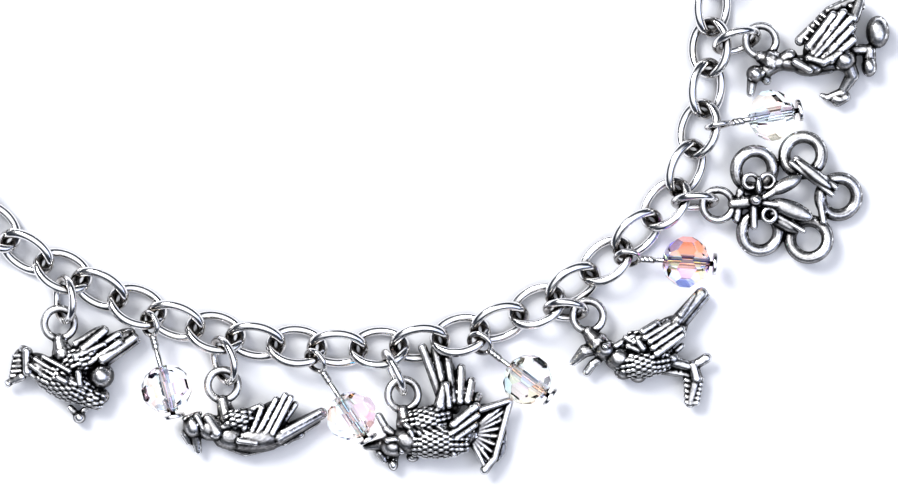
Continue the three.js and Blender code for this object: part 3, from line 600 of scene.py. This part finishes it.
# ---- chain ----
def make_chain():
    for number in range(1, SEPARATE_LINKS + 1):
        bm = bmesh.new()
        oval_link(bm, link_place(number))
        piece(f"cable_link_{number:02d}", bm, SILVER, [f"link_{number:02d}"])
    sections = (LINKS - SEPARATE_LINKS) // LINKS_PER_SECTION
    for section in range(sections):
        bm = bmesh.new()
        first = SEPARATE_LINKS + 1 + section * LINKS_PER_SECTION
        for number in range(first, first + LINKS_PER_SECTION):
            oval_link(bm, link_place(number))
        piece(f"cable_links_{section + 1}", bm, SILVER,
              [f"chain_section_{section + 1}"])


def lying_height(radius, wire, roll):
    return radius * math.sin(math.radians(abs(roll))) + wire / 2


def make_clasp():
    end = link_distance(LINKS_BEFORE_CLASP) + (LINK_LENGTH - LINK_WIRE) / 2
    middle = end - (LINK_WIRE + CLASP["wire"]) / 2 - CLASP_GAP + CLASP["radius"]
    eye_end = middle + CLASP["radius"] + 2 * CLASP["eye"]
    tie = eye_end - (CLASP["eye_wire"] + CLASP_RING["wire"]) / 2 - CLASP_GAP
    tie += CLASP_RING["radius"]
    height = lying_height(CLASP["radius"], CLASP["wire"], CLASP["roll"])
    place = on_route(middle, CLASP["roll"], height)
    bm = bmesh.new()
    hoop(bm, CLASP["radius"], CLASP["wire"], place, steps=64, sides=20)
    eye = Matrix.Translation((CLASP["radius"] + CLASP["eye"], 0, 0))
    hoop(bm, CLASP["eye"], CLASP["eye_wire"], place @ eye)
    piece("ring_clasp", bm, SILVER, ["clasp"])
    bm = bmesh.new()
    height = lying_height(CLASP_RING["radius"], CLASP_RING["wire"], CLASP_RING["roll"])
    hoop(bm, CLASP_RING["radius"], CLASP_RING["wire"],
         on_route(tie, CLASP_RING["roll"], height), cut=RING_CUT)
    piece("clasp_tie_ring", bm, SILVER, ["clasp_ring"])


# ---- cast charms ----
def blob(bm, x, y, z, half_x, half_y, half_z, turn):
    place = Matrix.Translation((x, y, z)) @ Matrix.Rotation(math.radians(turn), 4, "Z")
    place = place @ Matrix.Diagonal((half_x, half_y, half_z, 1))
    bmesh.ops.create_uvsphere(bm, u_segments=24, v_segments=16, radius=1, matrix=place)


def stroke(bm, x1, y1, z1, r1, x2, y2, z2, r2):
    """A tapering round bar with a ball at either end, which the casting runs together."""
    if (x1, y1, z1) != (x2, y2, z2):
        rod(bm, (x1, y1, z1), (x2, y2, z2), r1, r2)
    bmesh.ops.create_icosphere(bm, subdivisions=2, radius=r1 * 1.02,
                               matrix=Matrix.Translation((x1, y1, z1)))
    bmesh.ops.create_icosphere(bm, subdivisions=2, radius=r2 * 1.02,
                               matrix=Matrix.Translation((x2, y2, z2)))


def plumage(bm, x, y, z, half_x, half_y, half_z, turn, size=0.21):
    """Rows of small raised feather tips over the upper side of a body."""
    place = Matrix.Translation((x, y, z)) @ Matrix.Rotation(math.radians(turn), 4, "Z")
    rows = int(1.7 * half_x / (size * 1.9))
    for row in range(rows):
        along = -0.85 + 1.7 * (row + 0.5) / rows
        girth = math.sqrt(1 - along ** 2)
        across = max(2, int(half_y * girth * 2.6 / (size * 1.9)))
        for column in range(across):
            shift = 0.5 if row % 2 else 0.0
            angle = math.radians(-78 + 156 * (column + 0.25 + shift) / across)
            at = Vector((along * half_x, half_y * girth * math.sin(angle),
                         half_z * girth * math.cos(angle)))
            tip = place @ Matrix.Translation(at) @ Matrix.Diagonal((1.7, 0.95, 0.8, 1))
            bmesh.ops.create_icosphere(bm, subdivisions=2, radius=size, matrix=tip)


def cast_whole(bm, name, node, place):
    """Runs the shapes together as one casting and files its back flat where it lies."""
    mesh = bpy.data.meshes.new(name)
    bm.to_mesh(mesh)
    bm.free()
    rough = bpy.data.objects.new(name + "_rough", mesh)
    bpy.context.scene.collection.objects.link(rough)
    fuse = rough.modifiers.new("fuse", "REMESH")
    fuse.mode = "VOXEL"
    fuse.voxel_size = CAST_GRAIN
    fused = rough.evaluated_get(bpy.context.evaluated_depsgraph_get()).to_mesh()
    whole = bmesh.new()
    whole.from_mesh(fused)
    bpy.data.objects.remove(rough)
    bpy.data.meshes.remove(mesh)
    bmesh.ops.smooth_vert(whole, verts=whole.verts, factor=0.5,
                          use_axis_x=True, use_axis_y=True, use_axis_z=True)
    cut = bmesh.ops.bisect_plane(whole, geom=whole.verts[:] + whole.edges[:] + whole.faces[:],
                                 plane_co=(0, 0, 0), plane_no=(0, 0, -1), clear_outer=True)
    rim = [item for item in cut["geom_cut"] if isinstance(item, bmesh.types.BMEdge)]
    bmesh.ops.triangle_fill(whole, use_beauty=True, use_dissolve=False, edges=rim)
    bmesh.ops.transform(whole, matrix=place, verts=whole.verts)
    return piece("cast_" + name, whole, CAST, [node])


PLUMED = {"partridge": (0, 1, 5), "dove": (4,), "hen": (0, 1), "calling_bird": (2, 6), "goose": ()}


def make_charms():
    for name, (body, eyelet, middle, radius, lean, dip, heading) in CHARMS.items():
        bm = bmesh.new()
        offset = Vector((eyelet[0] - body[0], eyelet[1] - body[1], EYELET_HEIGHT))
        hoop(bm, EYELET_RADIUS, EYELET_WIRE, Matrix.Translation(offset))
        if name == "five_rings":
            for x, y, tilt in FIVE_RINGS["rings"]:
                ring = turned((x, y, FIVE_RINGS["height"]), tilt, tilt, 0)
                hoop(bm, FIVE_RINGS["radius"], FIVE_RINGS["wire"], ring)
            for x, y, loop_radius in FIVE_RINGS["bow_loops"]:
                hoop(bm, loop_radius, 0.44, Matrix.Translation((x, y, 2.1)), steps=24, sides=10)
            strokes, blobs = FIVE_RINGS["strokes"], FIVE_RINGS["blobs"]
        else:
            strokes, blobs = BIRDS[name]["strokes"], BIRDS[name]["blobs"] + WEBS[name]
            neck = (offset.x, offset.y - EYELET_RADIUS - 0.1, EYELET_HEIGHT, 0.55)
            stroke(bm, *neck, 0.3, -2.4 if name != "goose" else -1.9, 1.5, 1.0)
        for row in blobs:
            blob(bm, *row)
        for index in PLUMED.get(name, ()):
            plumage(bm, *blobs[index])
        for row in strokes:
            stroke(bm, *row)
        cast_whole(bm, name, f"charm_{name}", Matrix.Translation((body[0], body[1], 0)))
        bm = bmesh.new()
        hoop(bm, radius, RING_WIRE, turned(middle, lean, dip, heading), cut=RING_CUT)
        piece(f"split_ring_{name}", bm, SILVER, [f"jump_ring_{name}"])


# ---- crystals on their pins ----
FACET_ROWS = ((0, 8, 0.0), (36, 8, 0.5), (-36, 8, 0.5), (65, 8, 0.0), (-65, 8, 0.0))
FACET_DEPTH = 0.955


def cut_facet(bm, normal, distance):
    cut = bmesh.ops.bisect_plane(bm, geom=bm.verts[:] + bm.edges[:] + bm.faces[:],
                                 plane_co=normal * distance, plane_no=normal, clear_outer=True)
    rim = [item for item in cut["geom_cut"] if isinstance(item, bmesh.types.BMEdge)]
    if rim:
        bmesh.ops.contextual_create(bm, geom=rim)


def cut_crystal():
    """A round crystal with flat facets in staggered rows, bored along X."""
    bm = bmesh.new()
    bmesh.ops.create_cube(bm, size=BEAD_RADIUS * 3)
    for latitude, count, shift in FACET_ROWS:
        lean = math.radians(latitude)
        for facet in range(count):
            around = (facet + shift) * math.tau / count
            normal = Vector((math.sin(lean), math.cos(lean) * math.cos(around),
                             math.cos(lean) * math.sin(around)))
            cut_facet(bm, normal, BEAD_RADIUS * FACET_DEPTH)
    for side in (1, -1):
        cut_facet(bm, Vector((side, 0, 0)), BEAD_LENGTH / 2)
    bm.normal_update()
    ends = [face for face in bm.faces if abs(face.normal.x) > 0.999]
    for face in ends:
        middle = face.calc_center_median()
        inradius = min((edge.verts[0].co + edge.verts[1].co).lerp(Vector(), 0.5).yz.length
                       for edge in face.edges)
        bmesh.ops.inset_individual(bm, faces=[face], thickness=inradius - BORE_RADIUS)
    rims = [edge for face in ends for edge in face.edges]
    bmesh.ops.delete(bm, geom=ends, context="FACES_ONLY")
    bmesh.ops.bridge_loops(bm, edges=rims)
    bmesh.ops.recalc_face_normals(bm, faces=bm.faces)
    return bm


# fixed per-facet tints painted in as the coating's rainbow reflections
PAINTED_RAINBOW_TINTS = ["#ffffff", "#fbeef5", "#e6f6fb", "#f6f9ff", "#fdf8e2", "#f8d5e4", "#dce6fb",
                "#fbd9c0", "#e2f6ea"]
STRONG_PAINTED_RAINBOW_TINTS = ["#f4f8ff", "#6f86ea", "#f29ac4", "#fbe7a0", "#fbb890", "#b795ee", "#e2f2ff",
               "#5b78e6", "#f7c3da"]


def make_crystals():
    for index, (eye, roll, dip, heading, reach, strength) in enumerate(CRYSTALS):
        place = turned(eye, roll, dip, heading)
        bm = cut_crystal()
        film_and_painted_light = bm.loops.layers.float_color.new("film_and_painted_light")
        # painted reflection: each facet gets a fixed rainbow tint; the alpha sets the real
        # coating's thickness
        colours = STRONG_PAINTED_RAINBOW_TINTS if strength > 0.5 else PAINTED_RAINBOW_TINTS
        for number, face in enumerate(bm.faces):
            pick = (number * 7 + index * 5) % len(colours)
            tone = linear(colours[pick])
            for loop in face.loops:
                loop[film_and_painted_light] = (tone[0], tone[1], tone[2], strength * (number * 5 % 11) / 10)
        facet_turn = Matrix.Rotation(math.radians(17 * index), 4, "X")
        bmesh.ops.transform(bm, matrix=place @ Matrix.Translation((reach, 0, 0)) @ facet_turn,
                            verts=bm.verts)
        crystal = piece(f"cut_crystal_{index + 1}", bm, CRYSTAL,
                        [f"crystal_{index + 1}"], smooth=False)
        # clear glass passes nearly all its light on, so the paper under it stays bright
        crystal.visible_shadow = False
        make_pin(index + 1, place, reach)


def make_pin(number, place, reach):
    bm = bmesh.new()
    hoop(bm, EYE_RADIUS, PIN_WIRE, place, steps=40, sides=12, cut=8)
    head = reach + BEAD_LENGTH / 2 + HEAD_GAP
    rod(bm, (EYE_RADIUS - 0.1, 0, 0), (head + 0.1, 0, 0), PIN_WIRE / 2, PIN_WIRE / 2, place)
    # the wire's tail, wound round the neck
    section = bmesh.ops.create_circle(bm, cap_ends=True, segments=10, radius=PIN_WIRE * 0.4,
                                      matrix=Matrix.Translation((WRAP_START, WRAP_RADIUS, 0))
                                      @ Matrix.Rotation(math.radians(90), 4, "X"))["verts"]
    steps = int(WRAP_TURNS * 16)
    rise = (WRAP_END - WRAP_START) / steps
    edges = {e for v in section for e in v.link_edges} | {f for v in section for f in v.link_faces}
    before = set(bm.verts) - set(section)
    bmesh.ops.spin(bm, geom=list(edges), cent=(0, 0, 0), axis=(1, 0, 0), dvec=(rise, 0, 0),
                   steps=steps, angle=math.tau * WRAP_TURNS, use_merge=False)
    coil = [vert for vert in bm.verts if vert not in before]
    bmesh.ops.transform(bm, matrix=place, verts=coil)
    disc = rod(bm, (head, 0, 0), (head + HEAD_THICKNESS, 0, 0), HEAD_RADIUS, HEAD_RADIUS,
               place, sides=36)
    rims = [e for e in {e for v in disc for e in v.link_edges} if len(e.link_faces) == 2
            and any(len(f.verts) > 4 for f in e.link_faces)]
    bmesh.ops.bevel(bm, geom=rims, offset=0.11, offset_type="OFFSET", segments=3, profile=0.5,
                    affect="EDGES", material=-1)
    piece(f"wrapped_pin_{number}", bm, SILVER, [f"head_pin_{number}"])


make_chain()
make_clasp()
make_charms()
make_crystals()


# ---- floor, light and camera ----
def make_floor():
    material, tree, shader = new_material("white_paper")
    shader.inputs["Roughness"].default_value = 0.9
    shader.inputs["Base Color"].default_value = linear("#f4f5f8")
    bm = bmesh.new()
    bmesh.ops.create_grid(bm, x_segments=1, y_segments=1, size=1.5)
    mesh = bpy.data.meshes.new("paper_floor")
    bm.to_mesh(mesh)
    bm.free()
    mesh.materials.append(material)
    floor = bpy.data.objects.new("paper_floor", mesh)
    bpy.context.scene.collection.objects.link(floor)


def area_light(name, place, size, energy, colour):
    light = bpy.data.lights.new(name, "AREA")
    light.size = size
    light.energy = energy
    light.color = linear(colour)[:3]
    lamp = bpy.data.objects.new(name, light)
    lamp.location = place
    lamp.rotation_euler = (Vector((0, 0, 0)) - Vector(place)).to_track_quat("-Z", "Y").to_euler()
    bpy.context.scene.collection.objects.link(lamp)


def make_sky():
    """A pale studio: bright overhead, dark near the horizon, so that metal shows both."""
    world = bpy.data.worlds.new("studio")
    bpy.context.scene.world = world
    world.use_nodes = True
    tree = world.node_tree
    way = add_node(tree, "ShaderNodeTexCoord")
    height = add_node(tree, "ShaderNodeSeparateXYZ", links={"Vector": way.outputs["Generated"]})
    sky = ramp_of(tree, height.outputs["Z"], [
        (0.0, "#4c5260"), (0.3, "#1c1f26"), (0.66, "#2b3038"), (0.86, "#f6f8ff")])
    background = tree.nodes["Background"]
    background.inputs["Strength"].default_value = 1.6
    tree.links.new(sky.outputs["Color"], background.inputs["Color"])


def make_camera():
    view_width, middle_x, middle_y, lens, sensor = 76.1, 4.41, -15.34, 200.0, 36.0
    data = bpy.data.cameras.new("camera")
    data.lens = lens
    data.sensor_width = sensor
    data.clip_start = 0.01
    camera = bpy.data.objects.new("camera", data)
    camera.location = ((middle_x + ORIGIN.x) * MM, (middle_y + ORIGIN.y) * MM,
                       view_width * MM * lens / sensor)
    bpy.context.scene.collection.objects.link(camera)
    bpy.context.scene.camera = camera


make_floor()
make_sky()
make_camera()
area_light("window", (-0.35, 0.35, 0.55), 0.3, 4.9, "#ffffff")
area_light("fill", (0.45, -0.2, 0.5), 0.5, 1.2, "#d6e0ff")
bpy.context.scene.view_settings.view_transform = "Standard"
